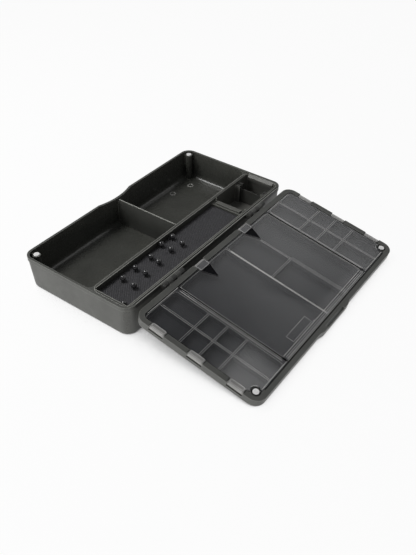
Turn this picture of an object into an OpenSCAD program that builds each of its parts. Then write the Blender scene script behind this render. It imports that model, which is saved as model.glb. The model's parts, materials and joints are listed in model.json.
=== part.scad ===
// A flat tackle box standing open: a deep base with a rig tray, and a shallow lid with three clear covers.
// The box's underside rests at z = 0, its long sides run along X, and the lid is hinged on the +Y side.

/* [Box] */
// Length of the box
box_length = 360; // [350:1:370]
// Width of the box, from the front wall to the hinge wall
box_width = 184; // [180:1:190]
// Height of the base
base_height = 48; // [46:1:54]
// Thickness of the lid
lid_height = 12.5; // [12:0.5:14]
// Radius of the upright corners
corner_r = 15; // [13:1:17]
// Thickness of the base's walls at the rim
wall = 3.2; // [2.8:0.1:3.6]
// Thickness of the base's floor
floor_t = 3; // [2.4:0.2:3.6]

/* [Base] */
// Height of the raised band round the rim
rim_band = 6; // [4:0.5:8]
// How far the band stands out from the wall below it
band_step = 0.8; // [0.4:0.1:1.2]
// How far the short walls lean in at the bottom
end_draft = 2; // [1:0.2:2.4]
// How far the front wall leans in at the bottom
front_draft = 4; // [2:0.5:5]
// Radius between the floor and the walls inside
inner_r = 8; // [5:1:9]
// Width of the front compartments, from the front wall to the long divider
front_width = 115; // [108:1:118]
// Thickness of the two dividers of the base
divider_t = 3.2; // [2.6:0.1:3.6]
// Depth of the finger dent in the front wall
dent_depth = 5.5; // [3:0.5:6.5]
// Length of the finger dent
dent_length = 66; // [50:1:80]

/* [Rig tray] */
// Thickness of the tray's walls
tray_wall = 1.6; // [1.4:0.1:2]
// Thickness of the foam block
foam_t = 11.5; // [9:0.5:13]
// How far the foam's top lies below the rim
foam_drop = 8.5; // [8:0.25:10]
// Length of the foam block
foam_length = 250; // [235:1:260]
// Width of the grip bar beside the foam
bar_w = 10; // [8:0.5:12]
// Distance of the small plate from the far end
plate_from_end = 34; // [28:1:40]

/* [Rig pins] */
// Diameter of a pin's ball head
ball_d = 8; // [6:0.25:8.5]
// Diameter of a pin's steel shank
shank_d = 1.6; // [1.4:0.1:2]
// Length of the shank below the ball's centre
shank_len = 13; // [11:0.5:14]

/* [Main hinges] */
// Distance of each hinge from the middle of the box
hinge_x = 97; // [92:1:102]
// Length of one hinge
hinge_len = 40; // [36:1:44]
// Distance of the hinge line from the wall
hinge_out = 4.85; // [4.7:0.05:5.2]
// Radius of the hinge knuckles
knuckle_r = 3.2; // [2.9:0.1:3.4]
// Diameter of the hinge rods
hinge_rod_d = 2.4; // [2:0.1:2.8]
// Gap between base and lid when the box is closed
closed_gap = 1; // [0.9:0.05:1.2]

/* [Lid] */
// Width of the lid's rim along the long sides
lid_rim = 7.6; // [7.2:0.1:8.2]
// Thickness of the lid's floor
lid_floor = 2.5; // [2:0.25:3]
// Half the length of the middle bay
mid_bay = 103; // [98:1:106]
// Width of the two bars between the bays
bay_bar = 8; // [7:0.5:9]
// Thickness of the walls inside the bays
bay_wall = 3; // [2.2:0.2:3.4]
// Distance of the cross walls of the end bays from each other
cell_pitch = 29; // [26:1:31]

/* [Covers] */
// Thickness of the clear covers
cover_t = 1.4; // [1.2:0.1:1.6]
// Width of one clip of an end cover
clip_w = 22; // [18:1:24]
// Distance of an end cover's outer clips from the lid's long sides
clip_from_side = 34.5; // [33:0.5:37]
// Width of one clip of the middle cover
mid_clip_w = 21; // [18:1:24]
// Distance of the middle cover's clips from its middle
mid_clip_x = 51; // [46:1:54]
// Radius of the covers' hinge knuckles
clip_r = 3; // [2.8:0.1:3.1]
// Diameter of the covers' hinge pins
clip_pin_d = 2; // [1.8:0.1:2.2]
// Width of the grip lip along the middle cover's free edge
lip_w = 7.5; // [6:0.5:9]

/* [Magnets] */
// Diameter of the magnets
magnet_d = 8; // [7:0.5:9]
// Thickness of the magnets
magnet_t = 2.5; // [2:0.25:3]
// Distance of the magnets from the short walls
magnet_in = 13; // [12.5:0.25:14]
// Distance of the magnets from the front wall
magnet_back = 13.5; // [13:0.25:14.5]

/* [Hidden] */
$fn = 48;
CORNER_FN = 32;   // sides of a full circle in the shells that lean inwards
EPS = 0.01;
PIN_FIT = 0.05;   // radial clearance of a pin that turns or slides
hx = box_length / 2;
hy = box_width / 2;

// the base's inner lines
bottom_r = 3;
hinge_draft = 2;
in_x = hx - wall;
in_front = -(hy - wall);
div_front = in_front + front_width;
div_back = div_front + divider_t;
strip_back = hy - wall - 1.8;
strip_near = hx - wall - 2.8;
strip_far = -(hx - wall - 0.4);
ledge_z = base_height - 2;
rebate_back = hy - wall + 0.2;
foot_step = 22.5;  // the round foot inside the front compartments is drawn in steps of this angle

// a point of that round foot at angle a: how far it stands from the wall, and its height above the floor
function foot_in(a) = inner_r * (1 - sin(a));
function foot_up(a) = inner_r * (1 - cos(a));
// how far a wall that leans in by `lean` at the floor still leans at the height of foot angle a
function foot_lean(lean, a) = lean * (1 - foot_up(a) / (base_height - floor_t));

// the finger dent is a cylinder that cuts the front wall
dent_r = (pow(dent_length / 2, 2) + pow(dent_depth, 2)) / (2 * dent_depth);
dent_z = 12;

// the loose divider between the front compartments stands between pairs of small ribs
plate_half = divider_t * 0.3;
play = 0.3;
rib_w = 1.2;
rib_slide = 0.15;
rib_top = ledge_z - 4;

// the rig tray
fit = 0.4;
lip_gap = 0.8;
tray_x1 = strip_near - fit;
tray_x0 = strip_far + fit;
tray_y0 = div_back + fit;
tray_y1 = strip_back - fit;
tray_floor = 12;
tray_r = 4;
far_r = 9;         // the tray's far corner by the hinges follows the corner of the box
lip_t = 1.6;
tray_top = ledge_z + lip_t;
foam_top = base_height - foam_drop;
foam_x1 = tray_x1 - tray_wall;
foam_x0 = foam_x1 - foam_length;
foam_y0 = tray_y0 + tray_wall;
foam_y1 = tray_y1 - tray_wall;
bins_x1 = foam_x0 - bar_w;
bar_top = base_height - 6;
ridge_h = 3;
ridge_w = bar_w * 0.34;
ridge_l = (foam_y1 - foam_y0) * 0.78;
far_slope = 4;
ramp_y0 = tray_y0 + tray_r;
ramp_y1 = tray_y1 - far_r;
plate_x = -hx + plate_from_end;
plate_t = 1.6;
plate_top = base_height - 10;
guide_w = 4.4;
guide_l = 8;
guide_play = 0.2;
guide_top = base_height - 4;

// the pins stand in two loose rows, and the last one is pushed into the foam's near corner:
// each one's distance from the foam's near end, and its share of the room that the balls have across it
PIN_FROM = [[148, 0.04], [125, 0.01], [95, 0.15], [65, 0.12], [39, 0.15],
            [144, 0.49], [124, 0.4], [93, 0.49], [65, 0.51], [37, 0.61], [5.2, 0.85]];
pin_count = len(PIN_FROM);
ball_side = ball_d / 2 + 0.5;
pin_room = foam_y1 - foam_y0 - 2 * ball_side;
PIN_AT = [for (p = PIN_FROM) [foam_x1 - p.x, foam_y0 + ball_side + p.y * pin_room]];
ball_rise = 4.5;
ball_z = foam_top + ball_rise;
ball_low = 2.3;
ball_bed = 0.2;
function pin_z(k) = k == pin_count ? ball_z - ball_low : ball_z;

// magnets
mag_x = hx - magnet_in;
mag_y = -hy + magnet_back;
post_r = magnet_d / 2 + 1.4;
mag_top = base_height;
post_top = mag_top - 1.2;

// main hinge
axis_y = hy + hinge_out;
axis_h = closed_gap / 2;
axis_z = base_height + axis_h;
knuckles = 5;
knuckle_pitch = hinge_len / knuckles;
knuckle_gap = 0.3;
stop_r = 1.3;
stop_gap = 0.1;

// the open lid rests its outer bottom edge on the table, which sets its slope
lid_edge_r = 3;
rest_gap = 0.08;
reach_h = axis_h + lid_height - lid_edge_r;
reach_s = box_width - lid_edge_r + hinge_out;
lid_slope = atan2(reach_s, reach_h)
    - acos((axis_z - lid_edge_r - rest_gap) / norm([reach_s, reach_h]));

// the lid's own lines: x along the box, y outward from its hinge edge, z up from the face that meets the base
recess = 2;
rec_x = hx - 7.4;
rec_y0 = lid_rim;
rec_y1 = box_width - lid_rim;
rec_r = 7;
bay_floor = -(lid_height - lid_floor);
bay_edge = 3;
bay_y0 = rec_y0 + bay_edge;
bay_y1 = rec_y1 - bay_edge;
end_bay_x0 = mid_bay + bay_bar;
end_bay_x1 = rec_x - 1.4;
bay_r = 4;
wall_top = -recess - 0.2;
lid_mag_y = box_width - magnet_back;
boss_r = magnet_d / 2 + 2.4;
lid_mag_top = 0.4;
end_wall_x = (end_bay_x0 + end_bay_x1) / 2;
row_y = [box_width / 2 - cell_pitch, box_width / 2, box_width / 2 + cell_pitch];
mid_wall_x = -mid_bay * 0.485;
mid_cross_y = box_width * 0.467;
wide_wall = 6.4;

// covers
cover_top = -0.5;
cover_low = cover_top - cover_t;
cover_gap = 0.8;
cover_r = rec_r - cover_gap;
edge_rib = 2.4;
root = 1;          // how far a clip reaches over its cover
hinge_side_gap = 1;
clip_top = 0.3;
clip_h = clip_top - clip_r;
clip_x = hx - 3.4;
mid_clip_y = 3.4;
slot_play = 0.2;
slot_in = 0.4;
slot_low = clip_h - clip_r - 0.4;
pin_bed = 4;
snap_w = 1.5;
clip_y = [clip_from_side, box_width / 2, box_width - clip_from_side];
cover_x0 = mid_bay + 1.2;
mid_cover_x = mid_bay + 0.4;
cover_x1 = rec_x - hinge_side_gap;
cover_y0 = rec_y0 + cover_gap;
mid_cover_y0 = rec_y0 + hinge_side_gap;
cover_y1 = rec_y1 - cover_gap;
wedge_y0 = mid_cover_y0 + 4.5;
wedge_l = 21;
wedge_w = 18;
wedge_t = 1.4;
lip_rise = 1;
lip_r = (pow(lip_w / 2, 2) + pow(lip_rise, 2)) / (2 * lip_rise);
wall_start = wedge_y0 + wedge_l + 1.6;

// thumb grip on the lid's free edge
thumb_l = 80;
thumb_out = 2.4;
thumb_slope = 8;
scoop_r = 6;

plastic = [0.25, 0.26, 0.24];
clear_grey = [0.35, 0.36, 0.37, 0.6];
steel = [0.75, 0.76, 0.78];
nickel = [0.88, 0.88, 0.86];
black = [0.06, 0.06, 0.07];

// a flat outline with four round corners, from [x0, y0] to [x1, y1]
module round_outline(x0, y0, x1, y1, r) {
    translate([x0 + r, y0]) square([x1 - x0 - 2 * r, y1 - y0]);
    translate([x0, y0 + r]) square([x1 - x0, y1 - y0 - 2 * r]);
    for (x = [x0 + r, x1 - r], y = [y0 + r, y1 - r]) translate([x, y]) circle(r);
}

module round_block(x0, y0, x1, y1, r, z0, z1) {
    translate([0, 0, z0]) linear_extrude(z1 - z0) round_outline(x0, y0, x1, y1, r);
}

// the same with a wider radius at its far corner by the hinges, which is [x0, y1]
module strip_block(x0, y0, x1, y1, r, wide_r, z0, z1) {
    translate([0, 0, z0]) linear_extrude(z1 - z0) {
        difference() {
            round_outline(x0, y0, x1, y1, r);
            translate([x0 - 1, y1 - wide_r]) square([wide_r + 1, wide_r + 1]);
        }
        translate([x0 + wide_r, y1 - wide_r]) circle(wide_r);
    }
}

module box_between(a, b) {
    translate(a) cube(b - a);
}

// a hollow with a round foot, open at the top, whose ends and front wall lean in towards the floor
module hollow(x0, y0, x1, y1, lean_x, lean_y, r) {
    hull() {
        for (a = [0 : foot_step : 90]) {
            in = foot_in(a);
            round_block(x0 + foot_lean(lean_x, a) + in, y0 + foot_lean(lean_y, a) + in,
                x1 - foot_lean(lean_x, a) - in, y1 - in,
                r, floor_t + foot_up(a), floor_t + foot_up(a) + EPS, $fn = CORNER_FN);
        }
        round_block(x0, y0, x1, y1, r, base_height, base_height + 1, $fn = CORNER_FN);
    }
}

// the base's outside: a band round the rim over a body that leans in towards its round bottom edge
module base_outside() {
    round_block(-hx, -hy, hx, hy, corner_r, base_height - rim_band, base_height);
    hull() {
        round_block(-hx + band_step, -hy + band_step, hx - band_step, hy - band_step,
            corner_r - band_step, base_height - rim_band, base_height - rim_band + EPS, $fn = CORNER_FN);
        for (a = [0 : 30 : 90]) {
            in = bottom_r * (1 - sin(a));
            z = bottom_r * (1 - cos(a));
            round_block(-hx + end_draft + in, -hy + front_draft + in,
                hx - end_draft - in, hy - hinge_draft - in,
                corner_r - in, z, z + EPS, $fn = CORNER_FN);
        }
    }
}

module dent_cylinder(r) {
    translate([0, -hy - dent_r + dent_depth, dent_z]) cylinder(r = r, h = base_height);
}

// posts that carry the magnets, each tied to its corner by two ribs
module magnet_post(side) {
    px = side * mag_x;
    wall_x = side * (in_x + 1);
    web = rib_w / 2;
    web_top = post_top - 2;
    web_low = base_height / 2;
    translate([px, mag_y, floor_t / 2]) cylinder(r = post_r, h = post_top - floor_t / 2);
    box_between([min(px, wall_x), mag_y - web, web_low], [max(px, wall_x), mag_y + web, web_top]);
    box_between([px - web, in_front - 1, web_low], [px + web, mag_y, web_top]);
}

// the base's knuckles are the odd ones, and the lid's are the even ones between them
function knuckle_x(k) = (k - (knuckles - 1) / 2) * knuckle_pitch;

module base_knuckle(x) {
    w = knuckle_pitch - knuckle_gap;
    translate([x - w / 2, axis_y, axis_z]) rotate([0, 90, 0]) cylinder(r = knuckle_r, h = w);
    box_between([x - w / 2, hy - 1, base_height - rim_band], [x + w / 2, axis_y, base_height]);
}

// pairs of small ribs that hold the cross divider upright
module divider_guides() {
    rib_y = in_front + dent_depth;
    for (s = [-1, 1]) {
        x0 = s > 0 ? plate_half + rib_slide : -plate_half - rib_slide - rib_w;
        box_between([x0, div_front - 2, floor_t + 2], [x0 + rib_w, div_front + EPS, rib_top]);
        box_between([x0, rib_y - 1, dent_z + 1], [x0 + rib_w, rib_y + 1.8, rib_top]);
    }
}

module base_tub() {
    color(plastic) difference() {
        union() {
            difference() {
                base_outside();
                hollow(-in_x, in_front, in_x, div_front, end_draft, front_draft, corner_r - wall);
                strip_block(strip_far, div_back, strip_near, strip_back, tray_r + 1, far_r + 1,
                    floor_t, base_height + 1);
                // the rebate that takes the tray's lip, and the lowered top of the long divider
                round_block(strip_far, div_front - 20, in_x, rebate_back, corner_r - wall,
                    ledge_z, base_height + 1);
            }
            // the wall behind the finger dent
            intersection() {
                dent_cylinder(dent_r + wall);
                box_between([-dent_length, -hy, dent_z],
                    [dent_length, in_front + dent_depth + 1, base_height]);
            }
            for (side = [-1, 1]) magnet_post(side);
            divider_guides();
            for (side = [-1, 1], k = [0 : 2 : knuckles - 1]) base_knuckle(side * hinge_x + knuckle_x(k));
            // a stop that the closed lid meets
            translate([0, hy - wall / 2, base_height - 1])
                cylinder(r = stop_r, h = 1 + closed_gap - stop_gap);
        }
        dent_cylinder(dent_r);
        for (side = [-1, 1]) {
            translate([side * mag_x, mag_y, mag_top - magnet_t]) cylinder(d = magnet_d, h = magnet_t + 1);
            translate([side * hinge_x - hinge_len / 2 - 1, axis_y, axis_z]) rotate([0, 90, 0])
                cylinder(d = hinge_rod_d, h = hinge_len + 2);
        }
    }
}

// a loose plate between the two front compartments, cut to the round feet of the walls it meets
module cross_divider() {
    y0 = in_front + dent_depth + play;
    y1 = div_front - play;
    step = 5;
    top = ledge_z - 0.5;
    front_foot = [for (a = [0 : foot_step : 90])
        [max(y0, in_front + play + foot_lean(front_draft, a) + foot_in(a)), floor_t + foot_up(a)]];
    back_foot = [for (a = [90 : -foot_step : 0]) [y1 - foot_in(a), floor_t + foot_up(a)]];
    color(plastic) translate([-plate_half, 0, 0]) rotate([90, 0, 90]) linear_extrude(2 * plate_half)
        polygon(concat(front_foot, [[y0, top], [y1 - step, top]],
            [[y1 - step + 1, top - 3], [y1, top - 3]], back_foot));
}

module magnet(side) {
    translate([side * mag_x, mag_y, mag_top - magnet_t]) cylinder(d = magnet_d, h = magnet_t);
}
module base_magnet_near() color(nickel) magnet(1);
module base_magnet_far() color(nickel) magnet(-1);

module hinge_rod(side) {
    translate([side * hinge_x - hinge_len / 2, axis_y, axis_z]) rotate([0, 90, 0])
        cylinder(d = hinge_rod_d, h = hinge_len);
}
module hinge_rod_near() color(steel) hinge_rod(1);
module hinge_rod_far() color(steel) hinge_rod(-1);

// a liner that drops into the strip beside the hinges: a shelf for the foam, then two deep bins
module rig_tray() {
    shelf = foam_top - foam_t;
    color(plastic) difference() {
        union() {
            strip_block(tray_x0, tray_y0, bins_x1, tray_y1, tray_r, far_r, tray_floor, ledge_z);
            box_between([bins_x1 - tray_r, tray_y0, tray_floor], [bins_x1 + tray_wall, tray_y1, ledge_z]);
            round_block(bins_x1 - tray_r, tray_y0, tray_x1, tray_y1, tray_r, shelf - tray_wall, ledge_z);
            // the lip that hangs the tray in the base
            round_block(tray_x0, div_front + lip_gap, in_x - lip_gap, rebate_back - lip_gap,
                    corner_r - wall, ledge_z, tray_top);
        }
        // the two bins, before the plate parts them
        strip_block(tray_x0 + tray_wall, foam_y0, bins_x1, foam_y1, tray_r - tray_wall, far_r - tray_wall,
            tray_floor + tray_wall, base_height);
        // the bed of the foam
        box_between([foam_x0, foam_y0, shelf], [foam_x1, foam_y1, base_height]);
        // the bar between foam and bins is lower than the lip
        box_between([bins_x1 - EPS, foam_y0, bar_top], [foam_x0 + EPS, foam_y1, base_height]);
        // room for the sloping far end
        box_between([tray_x0 - EPS, ramp_y0, tray_top - far_slope],
            [tray_x0 + tray_wall + EPS, ramp_y1, base_height]);
    }
    // the far end slopes down into the last bin
    color(plastic) translate([0, ramp_y1, 0]) rotate([90, 0, 0]) linear_extrude(ramp_y1 - ramp_y0)
        polygon([[tray_x0, tray_top],
            [tray_x0 + far_slope, tray_top - far_slope],
            [tray_x0 + far_slope, tray_top - 1.8 * far_slope],
            [tray_x0 + tray_wall - EPS, tray_top - 3 * far_slope],
            [tray_x0, tray_top - 3 * far_slope]]);
    // the two grip ridges on the bar
    mid_y = (foam_y0 + foam_y1) / 2;
    color(plastic) for (x = [bins_x1 + ridge_w / 2, foam_x0 - ridge_w * 1.5])
        box_between([x, mid_y - ridge_l / 2, bar_top - EPS],
            [x + ridge_w, mid_y + ridge_l / 2, bar_top + ridge_h]);
    // two pairs of guide blocks for the small plate
    color(plastic) for (side = [-1, 1], y = [foam_y0 - EPS, foam_y1 + EPS - guide_l]) {
        off = plate_t / 2 + guide_play;
        x0 = plate_x + (side < 0 ? -off - guide_w : off);
        box_between([x0, y, tray_floor + tray_wall - EPS], [x0 + guide_w, y + guide_l, guide_top]);
    }
}

// places its children at the centre of pin k's ball
module at_pin(k) {
    translate([PIN_AT[k - 1].x, PIN_AT[k - 1].y, pin_z(k)]) children();
}

module rig_foam() {
    hole_end = 1;
    color(black) difference() {
        box_between([foam_x0, foam_y0, foam_top - foam_t], [foam_x1, foam_y1, foam_top]);
        for (k = [1 : pin_count]) at_pin(k) translate([0, 0, -shank_len - hole_end])
            cylinder(d = shank_d + 2 * PIN_FIT, h = shank_len + hole_end + ball_d);
        // the corner pin's ball is pressed part of the way into the foam
        at_pin(pin_count) sphere(d = ball_d + 2 * ball_bed);
    }
}

module tray_plate() {
    color(plastic) box_between([plate_x - plate_t / 2, foam_y0 + play, tray_floor + tray_wall],
        [plate_x + plate_t / 2, foam_y1 - play, plate_top]);
}

module pin_head(k) {
    color(black) at_pin(k) difference() {
        sphere(d = ball_d);
        translate([0, 0, -ball_d]) cylinder(d = shank_d, h = ball_d);
    }
}

module pin_shank(k) {
    color(steel) at_pin(k) translate([0, 0, -shank_len]) cylinder(d = shank_d, h = shank_len);
}

// everything on the lid is drawn with the lid lying flat, then turned about its hinge line
module lid_place() {
    translate([0, axis_y, axis_z]) rotate([-lid_slope, 0, 0]) translate([0, hinge_out, -axis_h]) children();
}

// the slots in the lid's rim in which the covers' clips turn, drawn for the +X side
module end_slots() {
    half = clip_w / 2 + slot_play;
    for (y = clip_y) box_between([rec_x - slot_in, y - half, slot_low], [hx + 1, y + half, 1]);
}

module mid_slots() {
    half = mid_clip_w / 2 + slot_play;
    for (x = [-mid_clip_x, mid_clip_x])
        box_between([x - half, -1, slot_low], [x + half, rec_y0 + slot_in, 1]);
}

module clip_pins_end() {
    for (y = clip_y) translate([clip_x, y - clip_w / 2 - pin_bed, clip_h]) rotate([-90, 0, 0])
        cylinder(d = clip_pin_d, h = clip_w + 2 * pin_bed);
}

module clip_pins_mid() {
    for (x = [-mid_clip_x, mid_clip_x])
        translate([x - mid_clip_w / 2 - pin_bed, mid_clip_y, clip_h]) rotate([0, 90, 0])
            cylinder(d = clip_pin_d, h = mid_clip_w + 2 * pin_bed);
}

// what is drawn for one end of the lid, at that end and mirrored at the other
module both_ends() {
    children();
    mirror([1, 0, 0]) children();
}

module lid_outside() {
    round_block(-hx, 0, hx, box_width, corner_r, -lid_height + lid_edge_r, 0);
    hull() for (a = [0 : 22.5 : 90]) {
        in = lid_edge_r * (1 - sin(a));
        z = -lid_height + lid_edge_r * (1 - cos(a));
        round_block(-hx + in, in, hx - in, box_width - in, corner_r - in, z, z + EPS, $fn = CORNER_FN);
    }
    // the thumb grip is a shallow bulge of the free edge with sloping ends
    half = thumb_l / 2;
    edge = box_width;
    translate([0, 0, -lid_height + lid_edge_r]) linear_extrude(lid_height - lid_edge_r)
        polygon([[-half, edge - 1], [-half, edge], [-half + thumb_slope, edge + thumb_out],
            [half - thumb_slope, edge + thumb_out], [half, edge], [half, edge - 1]]);
}

module lid_knuckle(x) {
    w = knuckle_pitch - knuckle_gap;
    translate([x - w / 2, -hinge_out, axis_h]) rotate([0, 90, 0]) cylinder(r = knuckle_r, h = w);
    box_between([x - w / 2, -hinge_out, -rim_band], [x + w / 2, 1, 0]);
}

module lid_frame() {
    color(plastic) lid_place() difference() {
        union() {
            lid_outside();
            for (side = [-1, 1], k = [1 : 2 : knuckles - 2]) lid_knuckle(side * hinge_x + knuckle_x(k));
        }
        difference() {
            union() {
                // one shallow recess takes the three covers, and a bay is sunk below each of them
                round_block(-rec_x, rec_y0, rec_x, rec_y1, rec_r, -recess, 1);
                round_block(-mid_bay, bay_y0, mid_bay, bay_y1, bay_r, bay_floor, 0);
                both_ends() round_block(end_bay_x0, bay_y0, end_bay_x1, bay_y1, bay_r, bay_floor, 0);
            }
            both_ends() translate([mag_x, lid_mag_y, -lid_height + lid_edge_r])
                cylinder(r = boss_r, h = lid_height - lid_edge_r);
        }
        both_ends() {
            end_slots();
            clip_pins_end();
            // a round recess with the magnet standing in its middle
            translate([mag_x, lid_mag_y, lid_mag_top - magnet_t]) cylinder(d = magnet_d, h = magnet_t);
            translate([mag_x, lid_mag_y, -1]) cylinder(r = magnet_d / 2 + 1.2, h = 2);
            translate([hinge_x - hinge_len / 2 - 1, -hinge_out, axis_h]) rotate([0, 90, 0])
                cylinder(d = hinge_rod_d + 2 * PIN_FIT, h = hinge_len + 2);
        }
        mid_slots();
        clip_pins_mid();
        // a scoop for a thumbnail in the grip
        translate([0, box_width + thumb_out + 1, scoop_r / 2]) rotate([0, 90, 0])
            cylinder(r = scoop_r, h = thumb_l * 0.56, center = true);
    }
}

// one end bay: a wall along it and three across make eight cells
module cell_grid() {
    half = bay_wall / 2;
    box_between([end_wall_x - half, bay_y0, bay_floor], [end_wall_x + half, bay_y1, wall_top]);
    for (y = row_y) box_between([end_bay_x0, y - half, bay_floor], [end_bay_x1, y + half, wall_top]);
}
module near_cell_grid() color(plastic) lid_place() cell_grid();
module far_cell_grid() color(plastic) lid_place() mirror([1, 0, 0]) cell_grid();

module middle_bay_walls() {
    half = bay_wall / 2;
    right = mid_wall_x + half;
    color(plastic) lid_place() {
        box_between([-half, bay_y0, bay_floor], [half, bay_y1, wall_top]);
        // the shorter wall starts beyond a cover's wedge and widens past the cross wall
        box_between([right - bay_wall, wall_start, bay_floor], [right, mid_cross_y, wall_top]);
        box_between([right - wide_wall, mid_cross_y, bay_floor], [right, bay_y1, wall_top]);
        box_between([mid_wall_x, mid_cross_y - half, bay_floor], [0, mid_cross_y + half, wall_top]);
    }
}

module lid_magnet(side) {
    lid_place() translate([side * mag_x, lid_mag_y, lid_mag_top - magnet_t]) difference() {
        cylinder(d = magnet_d, h = magnet_t);
        translate([0, 0, magnet_t - 0.4]) cylinder(d = magnet_d / 4, h = 1);
    }
}
module lid_magnet_near() color(nickel) lid_magnet(1);
module lid_magnet_far() color(nickel) lid_magnet(-1);

module near_clip_pins() color(steel) lid_place() clip_pins_end();
module far_clip_pins() color(steel) lid_place() mirror([1, 0, 0]) clip_pins_end();
module middle_clip_pins() color(steel) lid_place() clip_pins_mid();

// an open clip that snaps over its pin, drawn along X with its pin at the origin and its cover towards +Y
module clip(w, reach) {
    difference() {
        union() {
            rotate([0, 90, 0]) cylinder(r = clip_r, h = w, center = true);
            box_between([-w / 2, 0, cover_low - clip_h], [w / 2, reach, clip_r]);
        }
        rotate([0, 90, 0]) cylinder(d = clip_pin_d + 2 * PIN_FIT, h = w + 1, center = true);
        box_between([-w / 2 - 1, -snap_w / 2, -clip_r - 1], [w / 2 + 1, snap_w / 2, 0]);
    }
}

// the near cover is drawn on the +X side, and the far one is its mirror image
module end_cover() {
    rib_inset = 8;
    difference() {
        union() {
            round_block(cover_x0, cover_y0, cover_x1, cover_y1, cover_r, cover_low, cover_top);
            // a low rib stiffens the free edge
            box_between([cover_x0, cover_y0 + rib_inset, cover_top - EPS],
                [cover_x0 + edge_rib, cover_y1 - rib_inset, 0]);
        }
        // the corner by the magnet is cut away round its boss
        translate([mag_x, lid_mag_y, cover_low - 1]) cylinder(r = boss_r + cover_gap, h = cover_t + 2);
        box_between([mag_x, lid_mag_y, cover_low - 1], [hx, box_width, 1]);
    }
    for (y = clip_y) translate([clip_x, y, clip_h]) rotate([0, 0, 90]) clip(clip_w, clip_x - cover_x1 + root);
}
module near_cover() color(clear_grey) lid_place() end_cover();
module far_cover() color(clear_grey) lid_place() mirror([1, 0, 0]) end_cover();

module middle_cover() {
    lip_l = 2 * mid_cover_x - 2;
    color(clear_grey) lid_place() {
        round_block(-mid_cover_x, mid_cover_y0, mid_cover_x, cover_y1, 1.5, cover_low, cover_top);
        // a low round grip along the free edge
        translate([-lip_l / 2, cover_y1 - lip_w / 2, cover_top]) rotate([90, 0, 90]) linear_extrude(lip_l)
            intersection() {
                translate([0, lip_rise - lip_r]) circle(lip_r, $fn = 96);
                translate([-lip_w / 2, -cover_t / 2]) square([lip_w, cover_t + lip_rise]);
            }
        for (x = [-mid_clip_x, mid_clip_x]) {
            translate([x, mid_clip_y, clip_h]) clip(mid_clip_w, wedge_y0 - mid_clip_y);
            // a triangular thickening under the cover spreads the clip's pull
            translate([x, wedge_y0, cover_low - wedge_t]) linear_extrude(wedge_t + EPS)
                polygon([[-wedge_w / 2, 0], [wedge_w / 2, 0], [0, wedge_l]]);
        }
    }
}

base_tub();
cross_divider();
base_magnet_near();
base_magnet_far();
hinge_rod_near();
hinge_rod_far();
rig_tray();
rig_foam();
tray_plate();
lid_frame();
near_cell_grid();
far_cell_grid();
middle_bay_walls();
lid_magnet_near();
lid_magnet_far();
near_clip_pins();
far_clip_pins();
middle_clip_pins();
near_cover();
far_cover();
middle_cover();
for (k = [1 : pin_count]) pin_head(k);
for (k = [1 : pin_count]) pin_shank(k);
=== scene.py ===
import json
import math

import bmesh
import bpy
from mathutils import Matrix, Vector


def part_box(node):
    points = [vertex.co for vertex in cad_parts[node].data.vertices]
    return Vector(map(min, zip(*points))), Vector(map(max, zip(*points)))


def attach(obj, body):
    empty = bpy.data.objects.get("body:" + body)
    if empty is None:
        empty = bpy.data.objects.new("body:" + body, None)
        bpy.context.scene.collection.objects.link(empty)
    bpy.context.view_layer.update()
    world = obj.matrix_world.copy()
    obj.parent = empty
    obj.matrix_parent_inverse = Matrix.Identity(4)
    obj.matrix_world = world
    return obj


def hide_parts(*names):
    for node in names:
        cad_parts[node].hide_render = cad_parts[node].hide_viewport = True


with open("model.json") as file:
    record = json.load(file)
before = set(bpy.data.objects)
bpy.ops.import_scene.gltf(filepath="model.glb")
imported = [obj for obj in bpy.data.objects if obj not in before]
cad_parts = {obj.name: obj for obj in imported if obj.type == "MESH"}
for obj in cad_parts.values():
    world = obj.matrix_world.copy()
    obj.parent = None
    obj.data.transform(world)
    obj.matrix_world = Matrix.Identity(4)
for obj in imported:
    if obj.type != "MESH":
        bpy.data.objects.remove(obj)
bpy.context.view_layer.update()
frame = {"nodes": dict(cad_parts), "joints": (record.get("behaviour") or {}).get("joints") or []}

MM = 0.001

# The photograph's viewpoint
CAMERA_AT = Vector((0.60085, 0.50549, 0.58980))
CAMERA_LOOK = Vector((-0.62761, -0.44217, -0.64077))
CAMERA_ROLL = math.radians(1.1228)
CAMERA_LENS = 43.02

# ---------------------------------------------------------------- places on the lid
# The lid's own lines are x along the box, s outward from its hinge edge and h up from its inner
# face. The near end of the box, by the camera, is the one at +x.
HINGE_OUT = 4.85 * MM
HINGE_UP = 0.5 * MM
LID_WIDTH = 184 * MM
BOX_HALF = 180 * MM
joints = {j["name"]: j for j in frame["joints"]}
lid_axis = Vector(joints["lid_hinge"]["pos_m"])
lid_out = Vector(joints["near_cover_hinge"]["axis"]).normalized()
lid_up = Vector((1, 0, 0)).cross(lid_out)
LID = Matrix((
    (1, lid_out.x, lid_up.x, lid_axis.x),
    (0, lid_out.y, lid_up.y, lid_axis.y),
    (0, lid_out.z, lid_up.z, lid_axis.z),
    (0, 0, 0, 1),
)) @ Matrix.Translation((0, HINGE_OUT, -HINGE_UP))


# ---------------------------------------------------------------- materials
PATCHES = (0.35, 0.65)      # the part of a noise's range that carries its patches
EDGE_RADIUS = 1.1 * MM      # how wide a moulded edge is lightened, partly as wear and partly as a painted highlight
RUB_AND_HIGHLIGHT_RANGE = (0.996, 0.93)  # the normals' agreement where the edges' wear and painted highlight begin and where they are full
SMOOTH_GRAIN = 1400         # the grain of a polished mould, coarser than a spark-eroded one


def shader(name):
    """A new material with one Principled shader: the material, its tree and that shader."""
    mat = bpy.data.materials.new(name)
    mat.use_nodes = True
    tree = mat.node_tree
    return mat, tree, tree.nodes["Principled BSDF"]


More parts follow.
